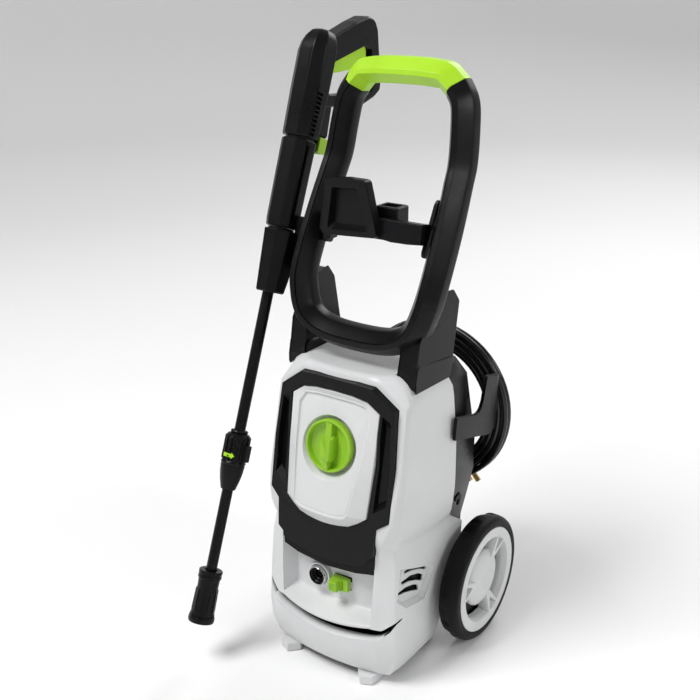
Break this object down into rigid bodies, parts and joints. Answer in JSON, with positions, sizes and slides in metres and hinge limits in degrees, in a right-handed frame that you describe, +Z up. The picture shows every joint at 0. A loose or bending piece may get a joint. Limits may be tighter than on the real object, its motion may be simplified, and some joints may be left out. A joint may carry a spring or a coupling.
{
  "type": "pressure washer",
  "caption": "Upright domestic electric pressure washer on wheels with a ring handle, spray gun and lance in a side cradle, rotary switch and coiled mains lead.",
  "frame": {"origin": "centre of the bounding box of everything but the mains lead, on the floor plane z = 0", "axes": "+Z up, -Y the front with the control panel, +X the right-hand side seen from the front"},
  "size_m": [0.345, 0.4648, 0.8973],
  "materials": {
    "white_casing": "fine satin grain",
    "black_plastic": "satin, fine grain",
    "lime_plastic": "satin",
    "tyre_rubber": "matt moulded rubber",
    "cable_pvc": "glossy flexible sheath",
    "chrome_ring": "polished",
    "zinc_steel": "zinc plated",
    "brass_fitting": "turned",
    "cast_alloy": "die cast",
    "laminated_steel": "varnished laminations"
  },
  "bodies": {
    "body": {"front_casing": "white_casing", "rear_casing": "black_plastic", "front_bezel": "black_plastic", "control_panel": "white_casing", "knob_dish": "white_casing", "connector_tray": "white_casing", "outlet_ring": "chrome_ring", "outlet_socket": "black_plastic", "switch_block": "black_plastic", "handle_frame": "black_plastic", "handle_grip": "lime_plastic", "accessory_holder": "black_plastic", "cable_hook_right": "black_plastic", "cable_hook_left": "black_plastic", "coil_saddle": "black_plastic", "coil_keeper": "black_plastic", "cable_gland": "black_plastic", "cable_coil": "cable_pvc", "cable_lead_in": "cable_pvc", "cable_lead_out": "cable_pvc", "plug_body": "black_plastic", "plug_pin_earth": "brass_fitting", "plug_pin_live": "brass_fitting", "plug_pin_neutral": "brass_fitting", "motor_can": "cast_alloy", "motor_field": "laminated_steel", "pump_head": "cast_alloy", "outlet_pipe": "brass_fitting", "inlet_pipe": "black_plastic", "water_inlet": "brass_fitting", "inlet_filter": "white_casing", "axle": "zinc_steel", "base_plate": "black_plastic", "front_foot_right": "white_casing", "front_foot_left": "white_casing", "lance_cradle": "black_plastic", "cord_clip": "black_plastic"},
    "knob": {"power_knob": "lime_plastic", "knob_spindle": "zinc_steel"},
    "latch": {"outlet_latch": "lime_plastic"},
    "wheel_right": {"wheel_right_rim": "white_casing", "wheel_right_tyre": "tyre_rubber", "wheel_right_cap": "white_casing"},
    "wheel_left": {"wheel_left_rim": "white_casing", "wheel_left_tyre": "tyre_rubber", "wheel_left_cap": "white_casing"},
    "rotor": {"rotor_shaft": "zinc_steel", "motor_fan": "black_plastic", "wobble_plate": "zinc_steel"},
    "gun": {"gun_body": "black_plastic", "gun_sleeve": "black_plastic", "hose_socket": "black_plastic", "lance_connector": "black_plastic", "trigger_pin": "zinc_steel"},
    "trigger": {"gun_trigger": "lime_plastic"},
    "release": {"hose_release": "lime_plastic"},
    "lance": {"lance_tube_upper": "black_plastic", "lance_coupling": "black_plastic", "lance_tube_lower": "black_plastic"},
    "nozzle": {"nozzle_sleeve": "black_plastic"}
  },
  "joints": [
    {"name": "knob_turn", "type": "hinge", "parent": "body", "child": "knob", "pos_m": [0.0145, -0.1101, 0.3519], "axis": [0, 0.9877, -0.1564], "range_deg": [0, 90]},
    {"name": "latch_slide", "type": "slide", "parent": "body", "child": "latch", "axis": [1, 0, 0], "range_m": [0, 0.005], "stiffness_N_per_m": 300, "springref_m": -0.002},
    {"name": "wheel_right_spin", "type": "hinge", "parent": "body", "child": "wheel_right", "pos_m": [0.1505, 0.0777, 0.0974], "axis": [1, 0, 0], "continuous": true},
    {"name": "wheel_left_spin", "type": "hinge", "parent": "body", "child": "wheel_left", "pos_m": [-0.1215, 0.0777, 0.0974], "axis": [1, 0, 0], "continuous": true},
    {"name": "rotor_spin", "type": "hinge", "parent": "body", "child": "rotor", "pos_m": [0.0145, 0.0059, 0.26], "axis": [0, 0, 1], "continuous": true},
    {"name": "gun_lift", "type": "slide", "parent": "body", "child": "gun", "axis": [0, 0.3584, 0.9336], "range_m": [0, 0.12]},
    {"name": "trigger_pull", "type": "hinge", "parent": "gun", "child": "trigger", "pos_m": [-0.1455, 0.10073, 0.83366], "axis": [1, 0, 0], "range_deg": [0, 12], "stiffness_Nm_per_rad": 2, "springref_deg": -8.59},
    {"name": "hose_release_press", "type": "slide", "parent": "gun", "child": "release", "axis": [0, -0.3584, -0.9336], "range_m": [0, 0.004], "stiffness_N_per_m": 400, "springref_m": -0.002},
    {"name": "lance_twist", "type": "hinge", "parent": "gun", "child": "lance", "pos_m": [-0.1455, -0.07325, 0.43343], "axis": [0, 0.3584, 0.9336], "range_deg": [0, 60]},
    {"name": "nozzle_turn", "type": "hinge", "parent": "lance", "child": "nozzle", "pos_m": [-0.1455, -0.20227, 0.09734], "axis": [0, 0.3584, 0.9336], "range_deg": [0, 90]}
  ]
}
